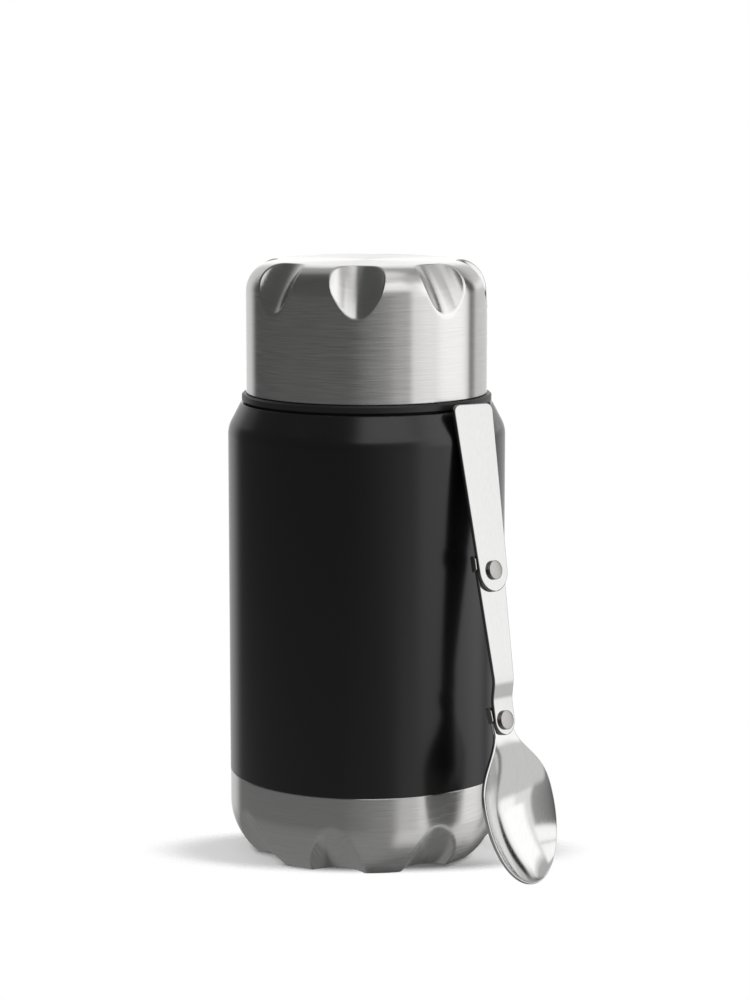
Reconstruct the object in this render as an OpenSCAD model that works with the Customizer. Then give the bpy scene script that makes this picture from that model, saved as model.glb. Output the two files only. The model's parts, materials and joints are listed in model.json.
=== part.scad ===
// Insulated food jar with a screw cap, a screw stopper and a folding spoon.
// Millimetres. +Z is up, and the origin is the centre of the feet on the table.
// The front of the jar faces -Y.

/* [Jar] */
// Outer diameter of the jar
jar_d = 95; // [85:1:105]
// Height of the steel rim above the table
rim_z = 155.8; // [140:0.2:175]
// How far the rim's edge stands in from the wall
shoulder_in = 4.4; // [3:0.1:6]
// Slope of the shoulder, from the vertical
shoulder_angle = 27.5; // [20:0.5:40]
// Radius of the bend between wall and shoulder
shoulder_bend_r = 10; // [4:0.5:14]
// Thickness of the steel walls
wall = 0.6; // [0.4:0.05:0.8]
// Vacuum gap between the two walls
vacuum_gap = 4.2; // [2.5:0.1:5]
// Width of the rim, from its edge to the mouth
rim_w = 7.1; // [6:0.1:8]
// Length of the straight neck inside the mouth
neck_h = 17; // [15:0.5:24]
// Radius of the corner at the bottom of the food space
vessel_corner_r = 12; // [6:0.5:16]
// Distance from the vacuum plate to the food space's floor
vessel_gap = 6; // [5:0.25:8]

/* [Base] */
// Height of the brushed base, up to its seam
seam_z = 28.1; // [26:0.1:34]
// Thickness of the base cup
base_wall = 0.8; // [0.5:0.05:1.0]
// Radius of the rounded lower corner
base_corner_r = 22; // [20:0.5:24]
// Height at which the lower corner starts to round
base_corner_z = 17.5; // [16:0.5:19]
// How far the foot ring's inner edge stands in from the wall
foot_in = 15.5; // [15:0.25:19]
// Depth of the recess inside the foot ring
recess_h = 2; // [1:0.2:3]
// Depth of the vacuum plate below the outer wall's lower end
plate_drop = 0.5; // [0.2:0.1:1]
// Height of the vacuum plate's rim
plate_rim_h = 5; // [3:0.5:7]
// Diameter of the dimple round the evacuation port
dimple_d = 14; // [10:0.5:20]
// Depth of that dimple
dimple_h = 1.4; // [1:0.1:2]
// Diameter of the evacuation port
port_d = 3; // [2:0.5:5]
// Diameter of the bead that seals the port
port_seal_d = 9; // [7:0.5:10]
// Height of that bead
port_seal_h = 1; // [0.6:0.1:1.4]
// Diameter of the getter
getter_d = 12; // [8:1:16]
// Thickness of the getter
getter_h = 1.8; // [1:0.1:2.5]
// Distance of the getter from the axis
getter_x = 22; // [18:1:28]
// Thickness of the foil
foil_t = 0.15; // [0.1:0.01:0.2]
// Distance of the foil's ends from the vessel's corner and shoulder
foil_margin = 4; // [2:0.5:10]

/* [Flutes] */
// Number of flutes round the cap and round the base
flute_count = 8; // [6:1:10]
// Radius of a cap flute across its width
cap_flute_r = 12; // [10:0.25:13]
// Height of a cap flute, from its lower end to the cap's top
cap_flute_h = 16.8; // [14:0.1:20]
// How far a cap flute runs in from the wall on the cap's top
cap_flute_in = 11.2; // [10.5:0.1:13]
// Radius that a cap flute follows down the crown
cap_flute_arc_r = 80; // [50:1:120]
// Turn of the cap's flutes, from the front
cap_flute_turn = -4.4; // [-22:0.1:22]
// Radius of a base flute across its width
base_flute_r = 15; // [13:0.5:18]
// Height of a base flute above the table
base_flute_h = 17; // [12:0.1:17]
// How far a base flute runs in from the wall on the table
base_flute_in = 14.7; // [10:0.1:15]
// Radius that a base flute follows round the lower corner
base_flute_arc_r = 45; // [40:1:60]
// Turn of the base's flutes, from the front
base_flute_turn = -14.4; // [-22:0.1:22]

/* [Threads] */
// Rise of a thread in one turn
thread_lead = 8; // [8:0.5:9]
// Height of a thread ridge
thread_depth = 1.2; // [1:0.05:1.3]
// Width of a thread ridge at its crest
thread_crest_w = 1; // [0.6:0.05:1]
// Radial clearance between a ridge and the opposite wall
thread_clear = 0.3; // [0.2:0.05:0.4]
// Turn that one ridge covers
thread_turn = 270; // [180:10:300]
// Start of the stopper's thread below the rim
neck_thread_h = 13.8; // [13:0.1:14.5]
// Start of the cap's thread above the flange
cap_thread_h = 2.2; // [2.2:0.1:2.5]

/* [Stopper] */
// How far the flange's edge stands in from the rim's
flange_in = 0.4; // [0.2:0.1:1]
// Thickness of the flange
flange_h = 2.8; // [2.4:0.1:3.6]
// Gap between the steel rim and the flange
flange_gap = 0.4; // [0.3:0.1:0.8]
// Depth of the plug below the rim
plug_h = 21.8; // [20:0.2:24]
// Wall of the plug
plug_wall = 2; // [1.4:0.1:2.4]
// Thickness of the plug's floor
plug_floor = 1.8; // [1.2:0.1:2.4]
// Height of the upstand above the end of its thread
upstand_lip_h = 2.3; // [2:0.1:4]
// Wall of the upstand
upstand_wall = 2.3; // [1.8:0.1:2.8]
// Thickness of the cover over the insulation
cover_h = 2; // [1.4:0.1:2.4]
// Depth of the cover below the flange's top
cover_recess = 0.5; // [0.3:0.1:0.6]
// Width of the rim seal
rim_seal_w = 4; // [3:0.25:4.5]
// Thickness of the rim seal
rim_seal_h = 1.2; // [0.9:0.1:1.5]
// Distance from the neck's bend to the rim seal
rim_seal_in = 0.6; // [0.4:0.1:1]

/* [Vent] */
// Diameter of the vent button
vent_button_d = 13; // [11:0.5:15]
// Height that the button stands above the cover
vent_button_proud = 0.8; // [0.4:0.1:1.2]
// Thickness of the button's head
vent_button_h = 2.4; // [1.8:0.1:3]
// Diameter of the vent's stem
vent_stem_d = 4.4; // [3.6:0.1:5]
// Wall of the tube that guides the button
vent_tube_wall = 1.5; // [1:0.1:2]
// Depth of the spring's pocket below the cover
vent_pocket_h = 8.5; // [7:0.25:10]
// Diameter of the vent's seal
vent_seal_d = 12; // [10:0.5:14]
// Thickness of the vent's seal
vent_seal_h = 1.4; // [1:0.1:2]
// Diameter of the spring's wire
spring_wire_d = 0.7; // [0.5:0.05:0.9]
// Number of turns of the spring
spring_turns = 5; // [4:0.5:6]

/* [Cap] */
// How far the cap stands in from the flange's edge
cap_in = 1.5; // [1:0.1:2.5]
// Height of the cap
cap_h = 45.2; // [42:0.2:52]
// Radius of the cap's crown
crown_r = 10; // [8:0.25:12]
// Thickness of the cap's steel shell
cap_wall = 0.7; // [0.5:0.05:0.9]
// Wall of the cap's plastic liner
liner_wall = 1.9; // [1.4:0.1:2]
// Height of the cap's gasket
cap_gasket_h = 1.2; // [0.9:0.1:1.5]

/* [Spoon] */
// Distance between the two rivets
rivet_span = 49.8; // [47:0.2:54]
// Length of the upper link above its rivet
upper_link_h = 55.6; // [50:0.2:57]
// Thickness of the spoon's steel
spoon_t = 1.2; // [0.9:0.05:1.3]
// Width of the bowl
bowl_w = 35.5; // [32:0.5:38]
// Length of the bowl's hollow, from its tip to the lower rivet's head
bowl_l = 52.6; // [49:0.2:58]
// Depth of the bowl below its rim
bowl_depth = 7.5; // [5:0.25:8]
// Height of the bowl's tip above the neck's back
bowl_tip_rise = 2.2; // [1.5:0.1:2.3]
// Width of the neck and of the middle link's lower end
neck_w = 10; // [8.5:0.1:10.5]
// Width of the middle link at its upper rivet
middle_link_w = 13.9; // [11:0.1:15]
// Width of the upper link at its rivet
upper_link_w = 14.3; // [12:0.1:15]
// Width of the upper link at its free end
upper_link_end_w = 19.5; // [16:0.5:22]
// Radius of the free end's corners
upper_link_corner_r = 2.6; // [1.5:0.1:4]
// Height that the middle link is stepped forward
joggle_h = 1.8; // [1.8:0.05:2.2]
// Distance from the lower rivet to the step
joggle_y = 7.6; // [7:0.1:9]
// Length of the step
joggle_l = 5; // [3:0.25:5.5]
// Diameter of a rivet's shank
rivet_d = 3.8; // [3:0.1:4]
// Diameter of a rivet's head
rivet_head_d = 6.4; // [5.6:0.1:6.8]
// Height of a rivet's head
rivet_head_h = 1.2; // [0.8:0.05:1.3]
// Height of a rivet's tail
rivet_tail_h = 0.7; // [0.5:0.05:0.8]
// Length of a stop ear
ear_l = 5.4; // [4:0.2:6]
// Thickness of a stop ear
ear_t = 0.8; // [0.6:0.05:1]
// How far a stop ear laps the edge of the link that it stops
ear_lap = 0.7; // [0.5:0.05:1]
// Lean of the spoon towards the jar, from the vertical
spoon_lean = 12; // [8:0.5:16]
// Turn of the spoon round the jar, from the front
spoon_turn = 48; // [0:1:80]
// Sideways shift of the bowl's tip from the line through the jar's axis
spoon_shift = -6.2; // [-8:0.2:2]
// Sideways tilt of the spoon
spoon_roll = -2.7; // [-4:0.1:4]
// How far the bowl is left folded
bowl_fold = 7; // [0:0.5:10]

/* [Hidden] */
$fn = 72;
// How far a cutting shape runs past the face that it cuts
over = 1;
// Clearance between pieces that only seat on each other
seat_gap = 0.05;
// Clearance between loose pieces that lean on each other
lean_gap = 0.3;
// Clearance round a shaft that turns
turn_gap = 0.05;
// Clearance round a stem that slides
slide_gap = 0.3;
// Segments in an arc of a turned profile
arc_n = 10;
// Direction of the jar's front
front = -90;
// Number of thread starts
thread_starts = 2;
// Slope of a thread's flanks
thread_flank = 30;
// Turn between two sections of a thread
thread_step = 10;
// Sections over which a thread fades in and out, and the share of its depth that it starts with
thread_fade_n = 3;
thread_fade = 0.35;
// Slope of the vessel's shoulder, and how far its bends move where the profile grows
neck_slope = 45;
neck_bend = tan(neck_slope / 2);
// How far a flute's cutter runs past both its ends
flute_run = 15;
// How the bowl narrows into the neck, where its hollow is deepest, and how full its hollow is
neck_flow = 1.45;
bowl_bias = 0.9;
bowl_full = 0.9;
// Length over which the neck laps into the bowl
bowl_lap = 0.5;
// Clearance beside a stop ear
ear_gap = 0.15;

jar_r = jar_d / 2;
shoulder_top_r = jar_r - shoulder_in;
mouth_r = shoulder_top_r - rim_w;
neck_out_r = mouth_r + wall;
vessel_r = jar_r - 2 * wall - vacuum_gap;
shoulder_bend_end_r = jar_r - shoulder_bend_r * (1 - cos(shoulder_angle));
shoulder_bend_end_z = rim_z - (shoulder_bend_end_r - shoulder_top_r) / tan(shoulder_angle);
shoulder_z = shoulder_bend_end_z - shoulder_bend_r * sin(shoulder_angle);
spigot_r = jar_r - base_wall - seat_gap;
spigot_z = max(base_corner_z, base_flute_h) + over;
foot_in_r = jar_r - foot_in;
plate_z = spigot_z - plate_drop;
vessel_floor_z = plate_z + vessel_gap;

flange_z = rim_z + flange_gap;
flange_top_z = flange_z + flange_h;
flange_r = shoulder_top_r - flange_in;
plug_r = mouth_r - thread_clear - thread_depth;
plug_z = rim_z - plug_h;
plug_in_r = plug_r - plug_wall;
cap_r = flange_r - cap_in;
cap_z = flange_top_z + 2 * seat_gap;
cap_top_z = cap_z + cap_h;
liner_out = cap_wall + 2 * seat_gap;
liner_in = liner_out + liner_wall;
liner_bore_r = cap_r - liner_in;
upstand_r = liner_bore_r - thread_clear - thread_depth;
upstand_in_r = upstand_r - upstand_wall;
upstand_top_z = flange_top_z + cap_thread_h + thread_lead * thread_turn / 360
    + upstand_lip_h;
cover_z = flange_top_z - cover_h - cover_recess;
cover_r = upstand_in_r - seat_gap;
cover_top_z = cover_z + cover_h;
liner_z = cap_z + cap_gasket_h + 2 * seat_gap;

thread_pitch = thread_lead / thread_starts;
neck_thread_z = rim_z - neck_thread_h;
cap_thread_z = flange_top_z + cap_thread_h;

vent_bore_r = vent_button_d / 2 + slide_gap / 2;
vent_tube_r = vent_bore_r + vent_tube_wall;
vent_stem_r = vent_stem_d / 2;
vent_guide_r = vent_stem_r + slide_gap;
vent_seat_z = cover_z - vent_pocket_h;
vent_top_z = cover_top_z + vent_button_proud;
vent_head_z = vent_top_z - vent_button_h;

lower_rivet_y = bowl_l + rivet_head_d / 2;
upper_rivet_y = lower_rivet_y + rivet_span;
neck_half = neck_w / 2;
lower_layer_n = spoon_t + 2 * turn_gap;
middle_layer_n = lower_layer_n + joggle_h;
upper_layer_n = middle_layer_n + spoon_t + 2 * turn_gap;
bowl_wide_y = bowl_l / 2;
bowl_arm = lower_rivet_y - bowl_wide_y;
// Height of the bowl's lowest point above its tip's, along the spoon
bowl_low = (lower_rivet_y - bowl_arm * cos(bowl_fold)) * cos(spoon_roll)
    + bowl_arm * sin(bowl_fold) * sin(spoon_roll)
    - norm([bowl_wide_y * cos(bowl_fold + spoon_roll), bowl_w / 2 * sin(bowl_fold + spoon_roll)]);
tip_z = -(bowl_tip_rise - spoon_t) * sin(spoon_lean) - bowl_low * cos(spoon_lean) + seat_gap;
// Where the spoon's back meets the jar: on the shoulder's bend, or at the spoon's end if that is lower
lean_z = min(shoulder_z + shoulder_bend_r * sin(spoon_lean),
    tip_z + (upper_rivet_y + upper_link_h) * cos(spoon_lean));
lean_r = jar_r - shoulder_bend_r + sqrt(pow(shoulder_bend_r, 2) - pow(max(0, lean_z - shoulder_z), 2));
lean_support = lean_r * cos(spoon_lean) + lean_z * sin(spoon_lean) + lean_gap;
tip_r = (lean_support - upper_layer_n - tip_z * sin(spoon_lean)) / cos(spoon_lean);

// Points along an arc, from angle a0 to a1 about a centre
function arc_points(centre, r, a0, a1, n = arc_n) =
    [for (i = [0:n]) let (a = a0 + (a1 - a0) * i / n) centre + r * [cos(a), sin(a)]];

// A solid of revolution about Z, from a profile of [radius, height] points
module turned(profile) {
    rotate_extrude() polygon(profile);
}

// A ring about Z
module ring(r_in, r_out, z0, z1) {
    turned([[r_in, z0], [r_out, z0], [r_out, z1], [r_in, z1]]);
}

// Centre of an arc of radius r through two points, on the left of the way from one to the other
function arc_centre(from, to, r) =
    let (way = to - from, l = norm(way))
    (from + to) / 2 + [-way[1], way[0]] / l * sqrt(r * r - l * l / 4);

// Flutes all round, as a tube bent to an arc in the radial plane. The arc runs between two points
// of [radius, height]. The tube's radius is tube_r, and grow makes it fatter about the same centre.
module flutes(from, to, arc_r, tube_r, grow, turn) {
    centre = arc_centre(from, to, arc_r);
    a0 = atan2(from[1] - centre[1], from[0] - centre[0]) - flute_run;
    a1 = atan2(to[1] - centre[1], to[0] - centre[0]) + flute_run;
    for (i = [0:flute_count - 1])
        rotate([0, 0, front + turn + i * 360 / flute_count])
            translate([centre[0], 0, centre[1]]) rotate([90, 0, 0]) rotate([0, 0, a0])
                rotate_extrude(angle = a1 - a0) translate([arc_r + tube_r, 0]) circle(tube_r + grow);
}

// One section of a thread ridge: root inside the wall at root_r, crest at crest_r
function ridge_section(root_r, crest_r, angle, z, share) =
    let (root_w = thread_crest_w + 2 * thread_depth * tan(thread_flank),
        tip_r = root_r + (crest_r - root_r) * share,
        tip_w = root_w + (thread_crest_w - root_w) * share)
    [for (p = [[root_r, -root_w / 2], [tip_r, -tip_w / 2], [tip_r, tip_w / 2], [root_r, root_w / 2]])
        [p[0] * cos(angle), p[0] * sin(angle), z + p[1]]];

// Helical ridges. A ridge fades in and out at its ends. A crest inside its root is a female thread.
module thread(root_r, crest_r, z0) {
    count = round(thread_turn / thread_step);
    flip = crest_r < root_r;
    for (start = [0:thread_starts - 1]) {
        points = [for (i = [0:count]) each ridge_section(root_r, crest_r,
            start * 360 / thread_starts + i * thread_step, z0 + thread_lead * i * thread_step / 360,
            thread_fade + (1 - thread_fade) * min(1, i / thread_fade_n, (count - i) / thread_fade_n))];
        sides = [for (i = [0:count - 1], k = [0:3])
            [4 * i + k, 4 * i + (k + 1) % 4, 4 * i + 4 + (k + 1) % 4, 4 * i + 4 + k]];
        ends = [[3, 2, 1, 0], [for (k = [0:3]) 4 * count + k]];
        faces = concat(sides, ends);
        polyhedron(points, [for (f = faces) flip ? [for (k = [len(f) - 1:-1:0]) f[k]] : f], convexity = 6);
    }
}

// The base's outer form, set in by inset all over
module base_form(inset, top_z) {
    centre = [jar_r - base_corner_r, base_corner_z];
    r = base_corner_r - inset;
    difference() {
        turned(concat([[0, inset]],
            arc_points(centre, r, -asin((base_corner_z - inset) / r), 0),
            [[jar_r - inset, top_z], [0, top_z]]));
        flutes([jar_r - base_flute_in, 0], [jar_r, base_flute_h], base_flute_arc_r, base_flute_r,
            inset, base_flute_turn);
        translate([0, 0, -over]) cylinder(r = foot_in_r + inset, h = recess_h + inset + over);
    }
}

module base_cup() {
    color("silver") difference() {
        base_form(0, seam_z);
        base_form(base_wall, seam_z + over);
    }
}

// The outer wall's profile, set in by inset, from the seam up to the shoulder's top edge
function shell_side(inset) = concat(
    arc_points([jar_r - shoulder_bend_r, shoulder_z], shoulder_bend_r - inset, 0, shoulder_angle),
    [[shoulder_top_r - inset * tan((90 - shoulder_angle) / 2), rim_z - inset]]);

module outer_shell() {
    side = shell_side(wall);
    color("#1d1d1f") turned(concat(
        [[spigot_r, spigot_z], [spigot_r, seam_z], [jar_r, seam_z]],
        shell_side(0),
        [[neck_out_r, rim_z], [neck_out_r, rim_z - wall]],
        [for (i = [len(side) - 1:-1:0]) side[i]],
        [[jar_r - wall, seam_z + wall], [spigot_r - wall, seam_z + wall - base_wall],
         [spigot_r - wall, spigot_z]]));
}

// The vessel's profile from the middle of its floor up to the lip, grown by grow
function vessel_side(grow) =
    let (r = vessel_r + grow, corner = vessel_corner_r + grow, neck_z = rim_z - neck_h,
        slope_h = (vessel_r - mouth_r) / tan(neck_slope))
    concat([[0, vessel_floor_z - grow]],
        arc_points([r - corner, vessel_floor_z - grow + corner], corner, -90, 0),
        [[r, neck_z - slope_h - grow * neck_bend], [mouth_r + grow, neck_z - grow * neck_bend],
         [mouth_r + grow, rim_z]]);

module inner_vessel() {
    inside = vessel_side(0);
    color("silver") {
        turned(concat(vessel_side(wall), [for (i = [len(inside) - 1:-1:0]) inside[i]]));
        thread(mouth_r + thread_clear, mouth_r - thread_depth, neck_thread_z + thread_pitch / 2);
    }
}

module foil_wrap() {
    color("lightgray") ring(vessel_r + wall, vessel_r + wall + foil_t,
        vessel_floor_z + vessel_corner_r + foil_margin,
        rim_z - neck_h - (vessel_r - mouth_r) / tan(neck_slope) - foil_margin);
}

module vacuum_plate() {
    r = spigot_r - wall - seat_gap;
    dimple_r = dimple_d / 2;
    port_r = port_d / 2;
    color("silver") turned([[port_r, plate_z - dimple_h], [dimple_r, plate_z - dimple_h],
        [dimple_r + dimple_h, plate_z], [r, plate_z], [r, plate_z + plate_rim_h],
        [r - wall, plate_z + plate_rim_h], [r - wall, plate_z + wall],
        [dimple_r + dimple_h - wall / 2, plate_z + wall],
        [dimple_r - wall / 2, plate_z - dimple_h + wall], [port_r, plate_z - dimple_h + wall]]);
}

module port_seal() {
    r = port_seal_d / 2;
    z = plate_z - dimple_h;
    color("goldenrod") turned([[0, z - port_seal_h], [r - port_seal_h, z - port_seal_h], [r, z],
        [port_d / 2, z], [port_d / 2, z + wall], [0, z + wall]]);
}

module getter() {
    color("gray") translate([getter_x, 0, plate_z + wall]) cylinder(d = getter_d, h = getter_h);
}

module rim_seal() {
    color("#3a3a3c") ring(neck_out_r + rim_seal_in, neck_out_r + rim_seal_in + rim_seal_w,
        rim_z + seat_gap, rim_z + seat_gap + rim_seal_h);
}

module stopper_shell() {
    edge = 0.5;
    groove_in = neck_out_r + rim_seal_in - seat_gap;
    groove_out = groove_in + rim_seal_w + 2 * seat_gap;
    groove_z = rim_z + 2 * seat_gap + rim_seal_h;
    color("#242426") {
        difference() {
            turned([[0, plug_z], [plug_r - edge, plug_z], [plug_r, plug_z + edge],
                [plug_r, flange_z], [flange_r - edge, flange_z], [flange_r, flange_z + edge],
                [flange_r, flange_top_z - edge], [flange_r - edge, flange_top_z],
                [upstand_r, flange_top_z], [upstand_r, upstand_top_z - edge],
                [upstand_r - edge, upstand_top_z], [upstand_in_r, upstand_top_z],
                [upstand_in_r, cover_z], [plug_in_r, cover_z], [plug_in_r, plug_z + plug_floor],
                [vent_tube_r, plug_z + plug_floor], [vent_tube_r, cover_z], [vent_bore_r, cover_z],
                [vent_bore_r, vent_seat_z], [0, vent_seat_z]]);
            translate([0, 0, plug_z - over])
                cylinder(r = vent_guide_r, h = vent_seat_z - plug_z + 2 * over);
            ring(groove_in, groove_out, flange_z - over, groove_z);
        }
        thread(plug_r - thread_clear, plug_r + thread_depth, neck_thread_z);
        thread(upstand_r - thread_clear, upstand_r + thread_depth, cap_thread_z);
    }
}

module stopper_cover() {
    color("#2c2c2e") ring(vent_bore_r, cover_r, cover_z + seat_gap, cover_top_z);
}

module foam_core() {
    color("ivory") ring(vent_tube_r + seat_gap, plug_in_r - seat_gap,
        plug_z + plug_floor + seat_gap, cover_z);
}

module vent_button() {
    edge = 0.6;
    stem_proud = 0.3;
    stem_z = plug_z - vent_seal_h - stem_proud;
    r = vent_button_d / 2;
    color("#6e6e72") turned([[0, stem_z], [vent_stem_r, stem_z], [vent_stem_r, vent_head_z],
        [r, vent_head_z], [r, vent_top_z - edge], [r - edge, vent_top_z], [0, vent_top_z]]);
}

module vent_seal() {
    color("#3a3a3c") ring(vent_stem_r, vent_seal_d / 2,
        plug_z - seat_gap - vent_seal_h, plug_z - seat_gap);
}

// A round wire coiled from z0 to z1, as one closed tube
module vent_spring() {
    sides = 8;
    per_turn = 12;
    wire_r = spring_wire_d / 2;
    coil_r = (vent_stem_r + vent_bore_r) / 2;
    z0 = vent_seat_z + wire_r + seat_gap;
    z1 = vent_head_z - wire_r - seat_gap;
    count = round(spring_turns * per_turn);
    points = [for (i = [0:count], k = [0:sides - 1])
        let (a = i * 360 / per_turn, b = k * 360 / sides, r = coil_r + wire_r * cos(b))
        [r * cos(a), r * sin(a), z0 + (z1 - z0) * i / count + wire_r * sin(b)]];
    tube = [for (i = [0:count - 1], k = [0:sides - 1])
        [sides * i + k, sides * (i + 1) + k, sides * (i + 1) + (k + 1) % sides, sides * i + (k + 1) % sides]];
    ends = [[for (k = [0:sides - 1]) k], [for (k = [sides - 1:-1:0]) sides * count + k]];
    color("silver") polyhedron(points, concat(tube, ends), convexity = 8);
}

module cap_gasket() {
    color("#3a3a3c") ring(liner_bore_r + seat_gap, cap_r - cap_wall - 3 * seat_gap,
        flange_top_z + seat_gap, flange_top_z + seat_gap + cap_gasket_h);
}

// The cap's outer form, set in by inset all over, down to bottom_z
module cap_form(inset, bottom_z) {
    centre = [cap_r - crown_r, cap_top_z - crown_r];
    difference() {
        turned(concat([[0, bottom_z], [cap_r - inset, bottom_z]],
            arc_points(centre, crown_r - inset, 0, 90), [[0, cap_top_z - inset]]));
        flutes([cap_r, cap_top_z - cap_flute_h], [cap_r - cap_flute_in, cap_top_z], cap_flute_arc_r,
            cap_flute_r, inset, cap_flute_turn);
    }
}

module cap_shell() {
    color("silver") difference() {
        cap_form(0, cap_z);
        cap_form(cap_wall, cap_z - over);
    }
}

module cap_liner() {
    color("#242426") {
        difference() {
            cap_form(liner_out, liner_z);
            cap_form(liner_in, liner_z - over);
        }
        thread(liner_bore_r + thread_clear, liner_bore_r - thread_depth, cap_thread_z + thread_pitch / 2);
    }
}

// Puts a piece drawn flat, tip at the origin and handle along +Y, where the spoon leans
module leaning() {
    rotate([0, 0, spoon_turn]) translate([spoon_shift, -tip_r, tip_z])
        rotate([90 - spoon_lean, 0, 0]) rotate([0, 0, spoon_roll]) children();
}

// Half the bowl's width at a distance y from its tip
function bowl_half(y) = y < bowl_wide_y
    ? bowl_w / 2 * sqrt(max(0, 1 - pow(1 - y / bowl_wide_y, 2)))
    : neck_half + (bowl_w / 2 - neck_half) * (0.5 + 0.5 * cos(180 * pow(y / bowl_wide_y - 1, neck_flow)));

// Height of the rim, and depth of the hollow, at a distance y from the tip
function rim_n(y) = spoon_t + (bowl_tip_rise - spoon_t) * pow(max(0, 1 - y / bowl_l), 2);
function hollow(y) = bowl_depth * pow(sin(180 * pow(min(1, y / bowl_l), bowl_bias)), bowl_full);

// A point of the bowl's skin: u runs across from -1 to 1, and lower is 0 inside and 1 outside
function bowl_point(y, u, lower) = [bowl_half(y) * u, y,
    rim_n(y) - hollow(y) * pow(1 - u * u, bowl_full) - lower * spoon_t];

module bowl_skin() {
    rows = 22;
    cols = 12;
    ys = [for (i = [0:rows]) bowl_l * (0.01 + 0.99 * (1 - cos(180 * i / rows)) / 2)];
    us = [for (k = [0:cols]) -cos(180 * k / cols)];
    width = cols + 1;
    skin = (rows + 1) * width;
    points = [for (lower = [0, 1], y = ys, u = us) bowl_point(y, u, lower)];
    top = [for (i = [0:rows - 1], k = [0:cols - 1])
        each [[i * width + k, i * width + k + 1, (i + 1) * width + k + 1],
            [i * width + k, (i + 1) * width + k + 1, (i + 1) * width + k]]];
    under = [for (f = top) [skin + f[2], skin + f[1], skin + f[0]]];
    rim = concat([for (k = [0:cols - 1]) [k, k + 1]],
        [for (i = [0:rows - 1]) [i * width + cols, (i + 1) * width + cols]],
        [for (k = [cols:-1:1]) [rows * width + k, rows * width + k - 1]],
        [for (i = [rows:-1:1]) [i * width, (i - 1) * width]]);
    edge = [for (e = rim) each [[e[1], e[0], skin + e[0]], [e[1], skin + e[0], skin + e[1]]]];
    faces = concat(top, under, edge);
    polyhedron(points, [for (f = faces) [f[2], f[1], f[0]]], convexity = 6);
}

// A stop ear beside a rivet, on the left edge of a link of half width half_w
module ear(y, half_w, n0, n1) {
    x0 = -half_w - ear_gap - ear_t;
    translate([x0, y, n0]) cube([ear_t, ear_l, n1 - n0]);
    translate([x0, y, n0]) cube([half_w, ear_l, spoon_t]);
}

module spoon_bowl() {
    color("gainsboro") leaning() translate([0, lower_rivet_y, 0]) rotate([0, 0, bowl_fold]) difference() {
        union() {
            translate([0, -lower_rivet_y, 0]) bowl_skin();
            translate([-neck_half, bowl_l - lower_rivet_y - bowl_lap, 0])
                cube([neck_w, lower_rivet_y - bowl_l + bowl_lap, spoon_t]);
            cylinder(d = neck_w, h = spoon_t);
            ear(0, neck_half, 0, lower_layer_n + ear_lap);
        }
        translate([0, 0, -over]) cylinder(d = rivet_d + 2 * turn_gap, h = spoon_t + 2 * over);
    }
}

module middle_link() {
    step_end = joggle_y + joggle_l;
    side = [[-neck_half - over, 0], [joggle_y, 0], [step_end, joggle_h],
        [rivet_span + middle_link_w, joggle_h], [rivet_span + middle_link_w, joggle_h + spoon_t],
        [step_end, joggle_h + spoon_t], [joggle_y, spoon_t], [-neck_half - over, spoon_t]];
    // Half the upper link's width beside the far end of the ear that stops it
    stopped_half = upper_link_w / 2
        + (upper_link_end_w - upper_link_w) / 2 * ear_l / (upper_link_h - upper_link_corner_r);
    color("gainsboro") leaning() translate([0, lower_rivet_y, lower_layer_n]) difference() {
        union() {
            intersection() {
                rotate([90, 0, 90]) linear_extrude(middle_link_w + over, center = true) polygon(side);
                linear_extrude(joggle_h + spoon_t + over) {
                    circle(d = neck_w);
                    polygon([[-neck_half, 0], [neck_half, 0], [neck_half, step_end],
                        [middle_link_w / 2, rivet_span], [-middle_link_w / 2, rivet_span],
                        [-neck_half, step_end]]);
                    translate([0, rivet_span]) circle(d = middle_link_w);
                }
            }
            ear(rivet_span, stopped_half, joggle_h, joggle_h + lower_layer_n + ear_lap);
        }
        for (y = [0, rivet_span])
            translate([0, y, -over]) cylinder(d = rivet_d, h = joggle_h + spoon_t + 2 * over);
    }
}

module upper_link() {
    end_half = upper_link_end_w / 2;
    corner = upper_link_corner_r;
    color("gainsboro") leaning() translate([0, upper_rivet_y, upper_layer_n]) difference() {
        linear_extrude(spoon_t) {
            circle(d = upper_link_w);
            polygon([[-upper_link_w / 2, 0], [upper_link_w / 2, 0],
                [end_half, upper_link_h - corner], [end_half - corner, upper_link_h],
                [corner - end_half, upper_link_h], [-end_half, upper_link_h - corner]]);
            for (x = [-1, 1])
                translate([x * (end_half - corner), upper_link_h - corner]) circle(corner);
        }
        translate([0, 0, -over]) cylinder(d = rivet_d + 2 * turn_gap, h = spoon_t + 2 * over);
    }
}

// A rivet along +Z: its shank from z0 to z1, a chamfered head above and a tail below
module rivet(z0, z1) {
    r = rivet_d / 2;
    head_r = rivet_head_d / 2;
    edge = 0.4;
    turned([[0, z0 - rivet_tail_h], [head_r - edge, z0 - rivet_tail_h], [head_r - edge / 2, z0],
        [r, z0], [r, z1], [head_r, z1], [head_r, z1 + rivet_head_h - edge],
        [head_r - edge, z1 + rivet_head_h], [0, z1 + rivet_head_h]]);
}

module lower_rivet() {
    color("darkgray") leaning() translate([0, lower_rivet_y, 0])
        rivet(-turn_gap, lower_layer_n + spoon_t);
}

module upper_rivet() {
    color("darkgray") leaning() translate([0, upper_rivet_y, 0])
        rivet(middle_layer_n, upper_layer_n + spoon_t + turn_gap);
}

outer_shell();
base_cup();
inner_vessel();
foil_wrap();
vacuum_plate();
port_seal();
getter();
rim_seal();
stopper_shell();
stopper_cover();
foam_core();
vent_button();
vent_seal();
vent_spring();
cap_gasket();
cap_shell();
cap_liner();
spoon_bowl();
middle_link();
upper_link();
lower_rivet();
upper_rivet();
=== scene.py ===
import json
import math

import bmesh
import bpy
from mathutils import Matrix, Vector


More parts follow.
